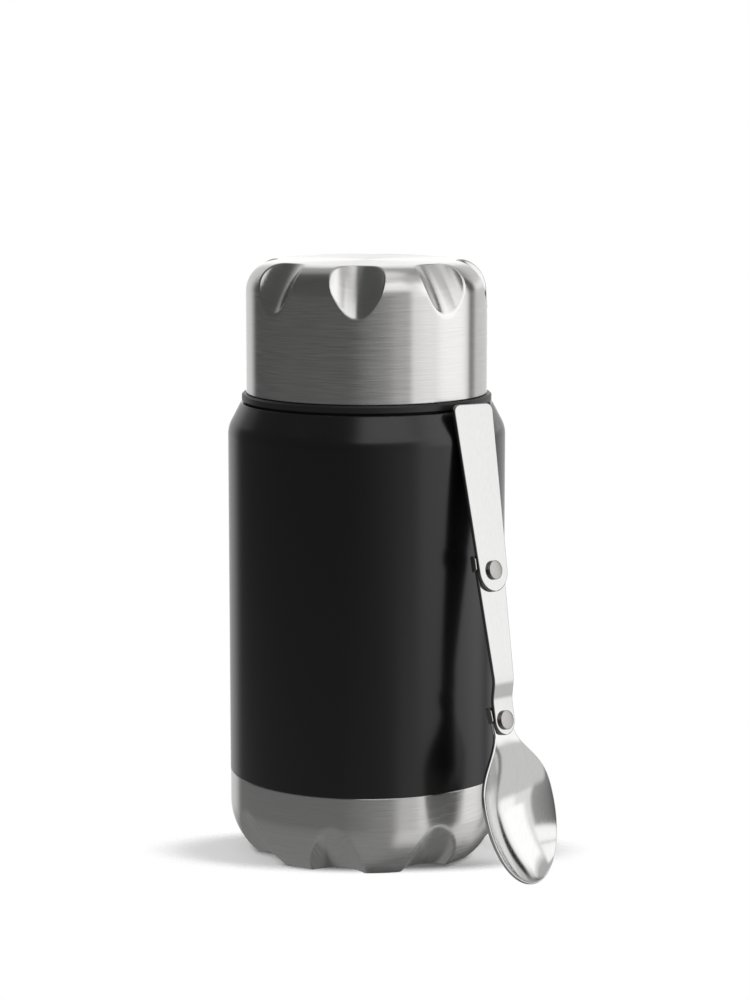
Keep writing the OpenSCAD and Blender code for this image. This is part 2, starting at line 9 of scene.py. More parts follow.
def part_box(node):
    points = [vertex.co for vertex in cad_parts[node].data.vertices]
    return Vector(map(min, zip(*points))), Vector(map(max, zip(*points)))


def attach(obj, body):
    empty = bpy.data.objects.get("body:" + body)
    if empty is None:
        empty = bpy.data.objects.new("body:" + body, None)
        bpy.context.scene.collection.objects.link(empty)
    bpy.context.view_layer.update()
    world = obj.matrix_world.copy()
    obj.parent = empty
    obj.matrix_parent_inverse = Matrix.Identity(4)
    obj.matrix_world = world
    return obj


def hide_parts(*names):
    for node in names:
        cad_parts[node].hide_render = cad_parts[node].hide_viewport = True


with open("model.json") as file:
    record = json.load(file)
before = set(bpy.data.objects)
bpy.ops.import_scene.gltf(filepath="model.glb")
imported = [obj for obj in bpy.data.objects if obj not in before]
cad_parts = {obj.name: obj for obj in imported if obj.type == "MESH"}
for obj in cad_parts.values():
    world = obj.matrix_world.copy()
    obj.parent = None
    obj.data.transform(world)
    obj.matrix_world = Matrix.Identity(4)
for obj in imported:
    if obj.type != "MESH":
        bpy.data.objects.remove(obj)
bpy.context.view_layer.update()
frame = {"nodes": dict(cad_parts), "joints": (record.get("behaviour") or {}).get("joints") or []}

MM = 0.001


def box_mm(node):
    """The lowest and highest corners of a node, in millimetres."""
    low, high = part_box(node)
    return low / MM, high / MM


# ---------------------------------------------------------------- sizes, in millimetres
JAR_R = box_mm("outer_shell")[1].x
SEAM_Z = box_mm("base_cup")[1].z
RIM_Z = box_mm("outer_shell")[1].z
CAP_Z, CAP_TOP = box_mm("cap_shell")[0].z, box_mm("cap_shell")[1].z
CAP_R = box_mm("cap_shell")[1].x
FLUTES = 8
# Faces round a fluted piece
FLUTED_FACES = 70 * FLUTES

# A flute: the radius of its groove, how far it reaches along the wall and in along the flat, the
# radius of the arc that the groove follows, the first one's turn in degrees, and its soft edge
CAP_FLUTE = {"radius": 12, "height": 16.8, "in": 11.2, "arc": 80, "turn": -4.4, "softness": 0.45}
BASE_FLUTE = {"radius": 15, "height": 17, "in": 14.7, "arc": 45, "turn": -14.4, "softness": 0.6}

CROWN_R = 10
CAP_WALL = 0.7
CAP_INSIDE_H = 12

BASE_CORNER_R = 22
BASE_CORNER_Z = 17.5
BASE_WALL = 0.8
FOOT_IN_R = 32
FOOT_ROUND = 1.5
FOOT_EDGE = 0.4
RECESS = 2

SHOULDER_BEND_R = 10
SHOULDER_ANGLE = 27.5
SHOULDER_TOP_R = 43.1
RIM_EDGE = 0.5
MOUTH_R = 36.6
SHELL_WALL = 0.6
SEAM_ROUND = 0.3

SPOON_T = 1.2
RIVET_GAP = 0.05
LAYER = SPOON_T + 2 * RIVET_GAP
BOWL_W = 35.5
BOWL_L = 52.6
BOWL_DEPTH = 7.5
TIP_RISE = 2.2
LOWER_RIVET_Y = 55.8
NECK_W = 10
MIDDLE_W = 13.9
UPPER_W = 14.3
UPPER_END_W = 19.5
UPPER_L = 55.6
UPPER_CORNER_R = 2.6
JOGGLE_H = 1.8
JOGGLE_Y = 7.6
JOGGLE_L = 5
JOGGLE_SOFT = 2
# How far the links' backs lie above the bowl's back, beside the upper rivet
MIDDLE_LEVEL = LAYER + JOGGLE_H
UPPER_LEVEL = 2 * LAYER + JOGGLE_H
EAR_L = 5.4
EAR_T = 0.8
EAR_GAP = 0.15
EAR_LAP = 0.7
EAR_BEND = 0.6
EAR_CROWN = 1.3
# How far in the ear's foot starts, as a share of the strip's half width
EAR_FOOT = 0.6
RIVET_R = 1.9
RIVET_HEAD_R = 3.2
RIVET_HEAD_H = 1.2
RIVET_TAIL_H = 0.7
RIVET_EDGE = 0.15
RIVET_DOME = 0.2


# ---------------------------------------------------------------- nodes
def add(tree, kind, feeds=None, **settings):
    """Adds a node with its settings, and feeds its inputs from sockets or with constants."""
    node = tree.nodes.new(kind)
    for name, value in settings.items():
        setattr(node, name, value)
    for key, value in (feeds or {}).items():
        if isinstance(value, bpy.types.NodeSocket):
            tree.links.new(value, node.inputs[key])
        else:
            node.inputs[key].default_value = value
    return node


def work_out(tree, known, sums):
    """Adds a table of sums to a tree. Each row has the name of its result, an operation and its
    inputs, which are numbers or names. Known holds the values by name, and takes the results."""
    for result, operation, *values in sums:
        feeds = {i: known.get(value, value) for i, value in enumerate(values)}
        known[result] = add(tree, "ShaderNodeMath", feeds, operation=operation).outputs[0]
    return known


# ---------------------------------------------------------------- materials
def colour(code):
    """An sRGB hex colour as the linear values that a node takes."""
    levels = [int(code[i:i + 2], 16) / 255 for i in (1, 3, 5)]
    linear = [v / 12.92 if v <= 0.04045 else ((v + 0.055) / 1.055) ** 2.4 for v in levels]
    return (*linear, 1)


def finish(name, code, metallic, roughness):
    """A new material with its shader set, as (material, tree, shader)."""
    material = bpy.data.materials.new(name)
    material.use_nodes = True
    tree = material.node_tree
    shader = tree.nodes["Principled BSDF"]
    shader.inputs["Base Color"].default_value = colour(code)
    shader.inputs["Metallic"].default_value = metallic
    shader.inputs["Roughness"].default_value = roughness
    return material, tree, shader


def grain(tree, size_mm, stretch=(1, 1, 1), detail=2, coordinates=None):
    """Noise whose bumps are about size_mm across, stretched along the axes."""
    if coordinates is None:
        coordinates = add(tree, "ShaderNodeTexCoord").outputs["Object"]
    scale = [1 / (size_mm * MM * s) for s in stretch]
    mapping = add(tree, "ShaderNodeMapping", {"Vector": coordinates, "Scale": scale})
    feeds = {"Vector": mapping.outputs[0], "Scale": 1, "Detail": detail, "Roughness": 0.6}
    return add(tree, "ShaderNodeTexNoise", feeds).outputs[0]


def vary(tree, shader, pattern, dark, light, depth_mm, wear=None, relief=None, ends=(0.3, 0.7)):
    """Takes the colour from dark to light, and the roughness over the range of wear, where a
    pattern goes from one end to the other, and raises a relief of depth_mm from the same pattern
    or another. The ends fit a noise, which seldom leaves them."""
    feeds = {"Value": pattern, "From Min": ends[0], "From Max": ends[1]}
    share = add(tree, "ShaderNodeMapRange", feeds).outputs[0]
    # A Mix node's colours are its inputs 6 and 7
    feeds = {0: share, 6: colour(dark), 7: colour(light)}
    tinted = add(tree, "ShaderNodeMix", feeds, data_type="RGBA")
    tree.links.new(tinted.outputs[2], shader.inputs["Base Color"])
    if wear:
        worn = add(tree, "ShaderNodeMapRange", {"Value": share, "To Min": wear[0], "To Max": wear[1]})
        tree.links.new(worn.outputs[0], shader.inputs["Roughness"])
    feeds = {"Height": relief or pattern, "Distance": depth_mm * MM, "Strength": 1}
    tree.links.new(add(tree, "ShaderNodeBump", feeds).outputs[0], shader.inputs["Normal"])


def round_the_axis(tree):
    """For a turned piece: coordinates that run along its profile in X and change slowly round it,
    and the direction round the axis."""
    object_space = add(tree, "ShaderNodeTexCoord").outputs["Object"]
    x, y, z = add(tree, "ShaderNodeSeparateXYZ", {0: object_space}).outputs
    flat = add(tree, "ShaderNodeCombineXYZ", {0: x, 1: y}).outputs[0]
    radius = add(tree, "ShaderNodeVectorMath", {0: flat}, operation="LENGTH").outputs["Value"]
    along = add(tree, "ShaderNodeMath", {0: z, 1: radius}, operation="SUBTRACT").outputs[0]
    coordinates = add(tree, "ShaderNodeCombineXYZ", {0: along, 1: x, 2: y}).outputs[0]
    feeds = {0: (0, 0, 1), 1: flat}
    tangent = add(tree, "ShaderNodeVectorMath", feeds, operation="CROSS_PRODUCT").outputs[0]
    return coordinates, tangent


def turned_steel(name, dark, light, roughness, line_mm, depth_mm):
    # Stainless steel brushed with a belt while it turned: fine lines run round it, so lights are
    # drawn out along its axis and stay crisp round it. The real lines are about 0.1 mm apart, and
    # they are drawn two or three times as coarse, so that they show.
    material, tree, shader = finish(name, light, 1, roughness)
    coordinates, tangent = round_the_axis(tree)
    lines = grain(tree, line_mm, (1, 60, 60), 2, coordinates)
    vary(tree, shader, lines, dark, light, depth_mm, wear=(roughness - 0.04, roughness + 0.05))
    shader.inputs["Anisotropic"].default_value = 0.85
    shader.inputs["Anisotropic Rotation"].default_value = 0.25
    tree.links.new(tangent, shader.inputs["Tangent"])
    return material


def powder_coat():
    # Polyester powder baked on steel: satin black, with a faint orange peel of about 1 mm and a
    # fine sparkle of roughness from the powder's grain.
    material, tree, shader = finish("satin_powder_coat", "#101010", 0, 0.22)
    peel = grain(tree, 1.1, detail=3)
    speck = grain(tree, 0.25, detail=2)
    vary(tree, shader, speck, "#0E0E0E", "#121212", 0.006, wear=(0.2, 0.25), relief=peel)
    return material


def moulded(name, dark, light, roughness, grain_mm=0.3, depth_mm=0.01):
    # Polypropylene from a spark-eroded mould: an even fine grain, with a painted highlight that makes its
    # tops a little lighter.
    material, tree, shader = finish(name, light, 0, roughness)
    texture = grain(tree, grain_mm, detail=3)
    vary(tree, shader, texture, dark, light, depth_mm, wear=(roughness - 0.05, roughness + 0.06))
    return material


def silicone():
    # Cured silicone rubber: matt, dark grey and slightly dusty, with a soft sheen at the edges.
    material, tree, shader = finish("silicone_rubber", "#2E2E30", 0, 0.62)
    shader.inputs["Sheen Weight"].default_value = 0.15
    vary(tree, shader, grain(tree, 0.6, detail=4), "#29292B", "#37373A", 0.008)
    return material


def polished_steel(name, dark, light, roughness):
    # Stainless steel buffed on a wheel: it shows its surroundings, more or less softened by
    # hairline wipe marks.
    material, tree, shader = finish(name, light, 1, roughness)
    wipes = grain(tree, 0.3, (1, 30, 8), 3)
    vary(tree, shader, wipes, dark, light, 0.0002, wear=(roughness - 0.02, roughness + 0.03))
    return material


def satin_metal(name, dark, light, roughness, grain_mm=0.2, depth_mm=0.004):
    # Stainless steel or another metal as it leaves the press or the kiln: an even, directionless
    # matt grain that blurs what it reflects.
    material, tree, shader = finish(name, light, 1, roughness)
    texture = grain(tree, grain_mm, detail=4)
    vary(tree, shader, texture, dark, light, depth_mm, wear=(roughness - 0.06, roughness + 0.08))
    return material


def foil():
    # Aluminium foil wrapped by hand: bright, with creases about 6 mm apart, and darker in colour along
    # their grooves as painted shade.
    material, tree, shader = finish("creased_aluminium_foil", "#DADBDD", 1, 0.22)
    coordinates = add(tree, "ShaderNodeTexCoord").outputs["Object"]
    feeds = {"Vector": coordinates, "Scale": 1 / (6 * MM), "Randomness": 1}
    creases_with_painted_shade = add(tree, "ShaderNodeTexVoronoi", feeds, feature="DISTANCE_TO_EDGE").outputs[0]
    vary(tree, shader, creases_with_painted_shade, "#C8C9CB", "#DFE0E2", 0.25, ends=(0, 1))
    return material


def foam():
    # Rigid polyurethane foam: cream, matt, with closed cells of about 0.8 mm.
    material, tree, shader = finish("polyurethane_foam", "#E4DBC0", 0, 0.9)
    coordinates = add(tree, "ShaderNodeTexCoord").outputs["Object"]
    feeds = {"Vector": coordinates, "Scale": 1 / (0.8 * MM)}
    cells = add(tree, "ShaderNodeTexVoronoi", feeds).outputs[0]
    vary(tree, shader, cells, "#EEE6CE", "#CFC4A2", 0.12, ends=(0, 1))
    return material


STEEL = turned_steel("brushed_stainless_steel", "#CCCBCA", "#D9D8D7", 0.22, 0.2, 0.0015)
VESSEL_STEEL = turned_steel("satin_stainless_steel", "#B8B6B3", "#CCCAC7", 0.36, 0.3, 0.003)
POWDER_COAT = powder_coat()
RING_PLASTIC = moulded("black_polypropylene", "#111112", "#18181A", 0.4)
COVER_PLASTIC = moulded("grained_polypropylene", "#252527", "#2E2E30", 0.55, 0.5, 0.02)
BUTTON_PLASTIC = moulded("grey_polypropylene", "#66666A", "#75757A", 0.42)
SILICONE = silicone()
POLISHED = polished_steel("mirror_polished_steel", "#C2C2C1", "#C8C8C7", 0.07)
BOWL_STEEL = polished_steel("buffed_steel", "#CFCFCE", "#D6D6D5", 0.12)
# Steel for the sheared edges: rougher than the faces, and dark in colour as painted shade, for the dark
# surroundings that these narrow faces reflect
EDGE_STEEL_WITH_PAINTED_SHADE = satin_metal("steel_edge_with_painted_shade", "#6E6D6B", "#7C7B79", 0.3)
RIVET_STEEL = satin_metal("satin_rivet_steel", "#9A9896", "#B2B0AD", 0.27)
PLATE_STEEL = satin_metal("mill_finish_steel", "#A9A8A6", "#BDBCBA", 0.4, 0.4)
SPRING_STEEL = satin_metal("drawn_spring_wire", "#9C9B99", "#BDBBB8", 0.28, 0.15)
BRAZE = satin_metal("dull_brazing_alloy", "#8F7B4E", "#B39C66", 0.45, 0.6, 0.02)
GETTER_METAL = satin_metal("sintered_getter_metal", "#4B4B4E", "#69696C", 0.7, 0.12, 0.03)

NODE_FINISHES = {
    "outer_shell": POWDER_COAT, "base_cup": STEEL, "inner_vessel": VESSEL_STEEL, "foil_wrap": foil(),
    "vacuum_plate": PLATE_STEEL, "port_seal": BRAZE, "getter": GETTER_METAL, "rim_seal": SILICONE,
    "stopper_shell": RING_PLASTIC, "stopper_cover": COVER_PLASTIC, "foam_core": foam(),
    "vent_button": BUTTON_PLASTIC, "vent_seal": SILICONE, "vent_spring": SPRING_STEEL,
    "cap_gasket": SILICONE, "cap_shell": STEEL, "cap_liner": RING_PLASTIC, "spoon_bowl": BOWL_STEEL,
    "middle_link": POLISHED, "upper_link": POLISHED, "lower_rivet": RIVET_STEEL,
    "upper_rivet": RIVET_STEEL,
}
for node_name, node_object in frame["nodes"].items():
    node_object.data.materials.clear()
    node_object.data.materials.append(NODE_FINISHES[node_name])


# ---------------------------------------------------------------- making pieces
def new_object(name, data):
    """A new object in the scene."""
    item = bpy.data.objects.new(name, data)
    bpy.context.scene.collection.objects.link(item)
    return item


def add_mesh(name, points, faces, material):
    """A smooth mesh from points in millimetres."""
    mesh = bpy.data.meshes.new(name)
    mesh.from_pydata([Vector(p) * MM for p in points], [], faces)
    mesh.materials.append(material)
    mesh.shade_smooth()
    return new_object(name, mesh)


def weld(piece, gap_mm):
    """Merges the points that lie closer together than the gap, and clears what that leaves flat."""
    form = bmesh.new()
    form.from_mesh(piece.data)
    bmesh.ops.remove_doubles(form, verts=form.verts, dist=gap_mm * MM)
    bmesh.ops.dissolve_degenerate(form, edges=form.edges, dist=1e-7)
    form.to_mesh(piece.data)
    form.free()


def settle(piece):
    """Makes a piece's modifiers real: the evaluated mesh takes its place."""
    evaluated = piece.evaluated_get(bpy.context.evaluated_depsgraph_get())
    mesh = bpy.data.meshes.new_from_object(evaluated)
    piece.modifiers.clear()
    piece.data = mesh
    return piece


def stand_for(piece, node, body):
    """Lets a finished piece take the place of a CAD node."""
    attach(piece, body)
    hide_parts(node)


# ---------------------------------------------------------------- turned pieces
def line(start, end, step):
    """Points from start to end, the start left out. They are about a step apart, with one more
    beside both ends, which keeps the shading of a flat face flat."""
    start, end = Vector(start), Vector(end)
    length = (end - start).length
    count = max(1, round(length / step))
    stops = {i / count for i in range(1, count + 1)}
    guard = 0.15
    if length > 4 * guard:
        stops |= {guard / length, 1 - guard / length}
    return [tuple(start.lerp(end, s)) for s in sorted(stops)]


def arc(centre, radius, start, end, count):
    """Points of an arc between two angles in degrees, the first left out."""
    angles = [math.radians(start + (end - start) * i / count) for i in range(1, count + 1)]
    return [(centre[0] + radius * math.cos(a), centre[1] + radius * math.sin(a)) for a in angles]


def turned(name, profile, around, material):
    """A piece turned on a lathe, from a profile of (radius, height) that runs from its underside
    out and up, so that its faces point outwards."""
    on_axis = 1e-6
    points, rings = [], []
    for radius, height in profile:
        if radius < on_axis:
            rings.append([len(points)] * around)
            points.append((0, 0, height))
            continue
        rings.append(range(len(points), len(points) + around))
        for i in range(around):
            angle = math.tau * i / around
            points.append((radius * math.cos(angle), radius * math.sin(angle), height))
    faces = []
    for low, high in zip(rings, rings[1:]):
        for i in range(around):
            k = (i + 1) % around
            face = dict.fromkeys((low[i], low[k], high[k], high[i]))
            faces.append(tuple(face))
    return add_mesh(name, points, faces, material)


def flute_tree():
    """Carves equal flutes round a turned piece. A flute is the groove of a tube that is bent to an
    arc in the radial plane, and Softness rounds the edge where it meets the surface."""
    tree = bpy.data.node_groups.new("Flutes", "GeometryNodeTree")
    lengths = ("Arc centre radius", "Arc centre height", "Arc radius", "Tube radius", "Softness")
    sockets = {"Geometry": "Geometry", "Count": "Int", "Turn": "Float", "Material": "Material"}
    sockets |= dict.fromkeys(lengths, "Float")
    for name, kind in sockets.items():
        tree.interface.new_socket(name, in_out="INPUT", socket_type="NodeSocket" + kind)
    tree.interface.new_socket("Geometry", in_out="OUTPUT", socket_type="NodeSocketGeometry")
    inputs = add(tree, "NodeGroupInput").outputs
    position = add(tree, "GeometryNodeInputPosition").outputs[0]
    x, y, z = add(tree, "ShaderNodeSeparateXYZ", {0: position}).outputs
    known = {name: inputs[name] for name in ("Count", "Turn", *lengths)} | {"x": x, "y": y, "z": z}

    work_out(tree, known, (
        ("y squared", "MULTIPLY", "y", "y"),
        ("radius squared", "MULTIPLY_ADD", "x", "x", "y squared"),
        ("radius", "SQRT", "radius squared"),
        ("angle", "ARCTAN2", "y", "x"),
        # The nearest flute, and the angle from it
        ("half share", "DIVIDE", math.pi, "Count"),
        ("minus half share", "MULTIPLY", "half share", -1),
        ("off turn", "SUBTRACT", "angle", "Turn"),
        ("from flute", "WRAP", "off turn", "half share", "minus half share"),
        ("flute's angle", "SUBTRACT", "angle", "from flute"),
        # The point as seen from its flute: outwards, sideways and up from the arc's centre
        ("cosine", "COSINE", "from flute"),
        ("from axis", "MULTIPLY", "radius", "cosine"),
        ("out", "SUBTRACT", "from axis", "Arc centre radius"),
        ("sine", "SINE", "from flute"),
        ("side", "MULTIPLY", "radius", "sine"),
        ("up", "SUBTRACT", "z", "Arc centre height"),
        # Its distance from the tube's middle line, and from the tube's surface
        ("up squared", "MULTIPLY", "up", "up"),
        ("reach squared", "MULTIPLY_ADD", "out", "out", "up squared"),
        ("reach", "SQRT", "reach squared"),
        ("line's radius", "ADD", "Arc radius", "Tube radius"),
        ("inside", "SUBTRACT", "reach", "line's radius"),
        ("side squared", "MULTIPLY", "side", "side"),
        ("span squared", "MULTIPLY_ADD", "inside", "inside", "side squared"),
        ("span", "SQRT", "span squared"),
        ("gap", "SUBTRACT", "span", "Tube radius"),
        # How far it moves away from the tube's middle line: a soft maximum of 0 and the overlap
        ("near", "SUBTRACT", "Softness", "gap"),
        ("near", "MAXIMUM", "near", 0),
        ("twice softness", "MULTIPLY", "Softness", 2),
        ("near", "MINIMUM", "near", "twice softness"),
        ("near squared", "MULTIPLY", "near", "near"),
        ("four times softness", "MULTIPLY", "Softness", 4),
        ("soft overlap", "DIVIDE", "near squared", "four times softness"),
        ("overlap", "MULTIPLY", "gap", -1),
        ("overlap", "MAXIMUM", "soft overlap", "overlap"),
        ("move", "DIVIDE", "overlap", "span"),
        ("radial move", "MULTIPLY", "move", "inside"),
        ("radial move", "DIVIDE", "radial move", "reach"),
        ("new out", "MULTIPLY_ADD", "radial move", "out", "out"),
        ("new out", "ADD", "new out", "Arc centre radius"),
        ("new side", "MULTIPLY_ADD", "move", "side", "side"),
        ("new up", "MULTIPLY_ADD", "radial move", "up", "up"),
        ("new up", "ADD", "new up", "Arc centre height"),
    ))

    feeds = {0: known["new out"], 1: known["new side"], 2: known["new up"]}
    local = add(tree, "ShaderNodeCombineXYZ", feeds).outputs[0]
    feeds = {"Vector": local, "Angle": known["flute's angle"]}
    turned_back = add(tree, "ShaderNodeVectorRotate", feeds, rotation_type="Z_AXIS").outputs[0]
    feeds = {"Geometry": inputs["Geometry"], "Position": turned_back}
    carved = add(tree, "GeometryNodeSetPosition", feeds).outputs[0]
    real = add(tree, "GeometryNodeRealizeInstances", {0: carved}).outputs[0]
    feeds = {"Geometry": real, "Material": inputs["Material"]}
    dressed = add(tree, "GeometryNodeSetMaterial", feeds).outputs[0]
    add(tree, "NodeGroupOutput", {0: dressed})
    return tree


def arc_centre(start, end, radius):
    """Centre of an arc through two points, on the left of the way from one to the other."""
    start, end = Vector(start), Vector(end)
    way = end - start
    left = Vector((-way.y, way.x)).normalized()
    return (start + end) / 2 + left * math.sqrt(radius ** 2 - way.length ** 2 / 4)


def flute(piece, sizes, start, end, material):
    """Carves the flutes whose arc runs between two points of (radius, height)."""
    centre = arc_centre(start, end, sizes["arc"])
    modifier = piece.modifiers.new("flutes", "NODES")
    modifier.node_group = FLUTE_TREE
    # The first flute's turn is counted from the front, which is -Y
    values = {"Count": FLUTES, "Turn": math.radians(sizes["turn"] - 90),
              "Arc centre radius": centre.x * MM, "Arc centre height": centre.y * MM,
              "Arc radius": sizes["arc"] * MM, "Tube radius": sizes["radius"] * MM,
              "Softness": sizes["softness"] * MM, "Material": material}
    for item in FLUTE_TREE.interface.items_tree:
        if item.name in values:
            modifier[item.identifier] = values[item.name]
    settle(piece)


FLUTE_TREE = flute_tree()


def cap():
    """The pressed steel cap: a rolled lower edge, a straight wall, a round crown and flutes."""
    lip = CAP_WALL / 2
    inner = CAP_R - CAP_WALL
    flute_z = CAP_TOP - CAP_FLUTE["height"]
    crown_x, crown_z = CAP_R - CROWN_R, CAP_TOP - CROWN_R
    # The faces are small from a little outside the flutes' ends
    fine_x, fine_z = crown_x - 5, flute_z - 2
    profile = [(inner, CAP_Z + CAP_INSIDE_H)]
    profile += line((inner, CAP_Z + CAP_INSIDE_H), (inner, CAP_Z + lip), step=3)
    profile += arc((CAP_R - lip, CAP_Z + lip), lip, 180, 360, count=8)
    profile += line((CAP_R, CAP_Z + lip), (CAP_R, fine_z), step=2.5)
    profile += line((CAP_R, fine_z), (CAP_R, crown_z), step=0.5)
    profile += arc((crown_x, crown_z), CROWN_R, 0, 90, count=40)
    profile += line((crown_x, CAP_TOP), (fine_x, CAP_TOP), step=0.4)
    profile += line((fine_x, CAP_TOP), (0, CAP_TOP), step=3)
    piece = turned("steel_cap", profile, FLUTED_FACES, STEEL)
    flute(piece, CAP_FLUTE, (CAP_R, flute_z), (CAP_R - CAP_FLUTE["in"], CAP_TOP), STEEL)
    stand_for(piece, "cap_shell", "cap")


def base():
    """The pressed steel cup round the foot, with its recess, foot ring, flutes and seam."""
    corner_x = JAR_R - BASE_CORNER_R
    # The corner meets the foot's round where both have the same tangent
    drop = BASE_CORNER_Z - FOOT_ROUND
    reach = BASE_CORNER_R - FOOT_ROUND
    foot_x = corner_x + math.sqrt(reach ** 2 - drop ** 2)
    foot_angle = -math.degrees(math.asin(drop / reach))
    fine_z = BASE_FLUTE["height"] + 3
    seam_x, seam_z = JAR_R - SEAM_ROUND, SEAM_Z - SEAM_ROUND
    profile = [(0, RECESS)] + line((0, RECESS), (FOOT_IN_R - FOOT_EDGE, RECESS), step=4)
    profile += arc((FOOT_IN_R - FOOT_EDGE, RECESS - FOOT_EDGE), FOOT_EDGE, 90, 0, count=5)
    profile += line((FOOT_IN_R, RECESS - FOOT_EDGE), (FOOT_IN_R, FOOT_EDGE), step=0.6)
    profile += arc((FOOT_IN_R + FOOT_EDGE, FOOT_EDGE), FOOT_EDGE, 180, 270, count=5)
    profile += line((FOOT_IN_R + FOOT_EDGE, 0), (foot_x, 0), step=0.5)
    profile += arc((foot_x, FOOT_ROUND), FOOT_ROUND, -90, foot_angle, count=6)
    profile += arc((corner_x, BASE_CORNER_Z), BASE_CORNER_R, foot_angle, 0, count=44)
    profile += line((JAR_R, BASE_CORNER_Z), (JAR_R, fine_z), step=0.6)
    profile += line((JAR_R, fine_z), (JAR_R, seam_z), step=2)
    profile += arc((seam_x, seam_z), SEAM_ROUND, 0, 90, count=4)
    profile += line((seam_x, SEAM_Z), (JAR_R - BASE_WALL, SEAM_Z), step=0.3)
    piece = turned("steel_base", profile, FLUTED_FACES, STEEL)
    flute(piece, BASE_FLUTE, (JAR_R - BASE_FLUTE["in"], 0), (JAR_R, BASE_FLUTE["height"]), STEEL)
    stand_for(piece, "base_cup", "jar")


def shell():
    """The powder-coated wall, from the seam over the shoulder to the rim."""
    slope = math.radians(SHOULDER_ANGLE)
    bend_x = JAR_R - SHOULDER_BEND_R * (1 - math.cos(slope))
    bend_z = RIM_Z - (bend_x - SHOULDER_TOP_R) / math.tan(slope)
    shoulder_z = bend_z - SHOULDER_BEND_R * math.sin(slope)
    # The rim's edge is an arc that is tangent to the shoulder and to the rim's flat top
    top_x = SHOULDER_TOP_R - RIM_EDGE * math.tan(math.radians((90 - SHOULDER_ANGLE) / 2))
    rim_arc = arc((top_x, RIM_Z - RIM_EDGE), RIM_EDGE, SHOULDER_ANGLE, 90, count=6)
    seam_x, seam_z = JAR_R - SEAM_ROUND, SEAM_Z + SEAM_ROUND
    profile = [(JAR_R - BASE_WALL, SEAM_Z)]
    profile += line((JAR_R - BASE_WALL, SEAM_Z), (seam_x, SEAM_Z), step=0.3)
    profile += arc((seam_x, seam_z), SEAM_ROUND, -90, 0, count=5)
    profile += line((JAR_R, seam_z), (JAR_R, shoulder_z), step=4)
    profile += arc((JAR_R - SHOULDER_BEND_R, shoulder_z), SHOULDER_BEND_R, 0, SHOULDER_ANGLE, count=12)
    profile += line((bend_x, bend_z), rim_arc[0], step=1.5)
    profile += rim_arc
    profile += line((top_x, RIM_Z), (MOUTH_R, RIM_Z), step=2)
    profile += line((MOUTH_R, RIM_Z), (MOUTH_R, RIM_Z - SHELL_WALL), step=0.6)
    piece = turned("coated_shell", profile, 256, POWDER_COAT)
    stand_for(piece, "outer_shell", "jar")


# ---------------------------------------------------------------- the spoon
JOINTS = {joint["name"]: joint for joint in frame["joints"]}
LOWER = Vector(JOINTS["spoon_fold_bowl"]["pos_m"])
UPPER = Vector(JOINTS["spoon_fold_end"]["pos_m"])
OUTWARDS = Vector(JOINTS["spoon_fold_bowl"]["axis"])
UPWARDS = (UPPER - LOWER).normalized()
RIVET_SPAN = (UPPER - LOWER).length / MM
BOWL_FOLD = math.radians(-JOINTS["spoon_fold_bowl"]["range_deg"][0])
# From the spoon's own frame to the jar's: X across, Y up the spoon from the lower rivet, and Z out
# from the spoon's back
LEANING = Matrix.Translation(LOWER) @ Matrix(
    [UPWARDS.cross(OUTWARDS), UPWARDS, OUTWARDS]).transposed().to_4x4()


def plate(name, rows, folds, half, height):
    """A plate of sheet steel between its two edges, which are half(y) to each side. It is flat
    between its folds, and its back is height(y) above the spoon's back."""
    right = [(half(y), y, height(y)) for y in rows]
    left = [(-x, y, n) for x, y, n in right]
    stops = [0] + [rows.index(y) for y in folds] + [len(rows) - 1]
    faces = []
    for low, high in zip(stops, stops[1:]):
        side = list(range(low, high + 1))
        faces.append(side + [len(rows) + i for i in reversed(side)])
    piece = add_mesh(name, right + left, faces, POLISHED)
    weld(piece, 0.0001)
    modifier = piece.modifiers.new("thickness", "SOLIDIFY")
    modifier.thickness = SPOON_T * MM
    modifier.offset = 1
    modifier.use_even_offset = True
    return settle(piece)


def round_end(middle, radius, towards, count=16):
    """Rows of a round end, from its widest place to its tip (1) or from its tip (-1)."""
    turns = [i * math.pi / 2 / count for i in range(1, count + 1)]
    rows = [middle + towards * radius * math.sin(a) for a in turns]
    return rows if towards > 0 else rows[::-1]


def steps(start, end, count):
    """Evenly spaced values from start to end, with both."""
    return [start + (end - start) * i / count for i in range(count + 1)]


def drill(piece, y, height):
    """Drills a rivet's hole through a strip."""
    form = bmesh.new()
    radius = (RIVET_R + RIVET_GAP) * MM
    bmesh.ops.create_cone(form, cap_ends=True, segments=48, radius1=radius, radius2=radius,
                          depth=4 * SPOON_T * MM)
    mesh = bpy.data.meshes.new("drill")
    form.to_mesh(mesh)
    form.free()
    cutter = new_object("drill", mesh)
    cutter.location = Vector((0, y, height)) * MM
    modifier = piece.modifiers.new("hole", "BOOLEAN")
    modifier.object = cutter
    modifier.solver = "EXACT"
    bpy.context.view_layer.update()
    settle(piece)
    bpy.data.objects.remove(cutter)


def soften(piece, width=0.35):
    """Rounds the edges as a polishing wheel does, and keeps the flats flat."""
    modifier = piece.modifiers.new("soft_edges", "BEVEL")
    modifier.width = width * MM
    modifier.segments = 3
    modifier.limit_method = "ANGLE"
    modifier.angle_limit = math.radians(50)
    modifier.harden_normals = True
    settle(piece)


def paint_shade_on_sides(piece, flat=0.97, steep=0.5, middle=1):
    """Gives the sheared edges a rougher steel whose dark colour is painted shade, for the dark
    that they reflect: all steep faces, and the softened ones that lie more than middle away
    from the strip's middle line. Flat and steep are the upright shares of a face's normal."""
    piece.data.materials.append(EDGE_STEEL_WITH_PAINTED_SHADE)
    for face in piece.data.polygons:
        upright = abs(face.normal.z)
        if upright < steep or (upright < flat and abs(face.center.x) > middle * MM):
            face.material_index = 1


def lean(piece, node, body, turn=0):
    """Puts a finished strip or rivet where the spoon leans on the jar."""
    piece.data.transform(LEANING @ Matrix.Rotation(turn, 4, "Z"))
    stand_for(piece, node, body)


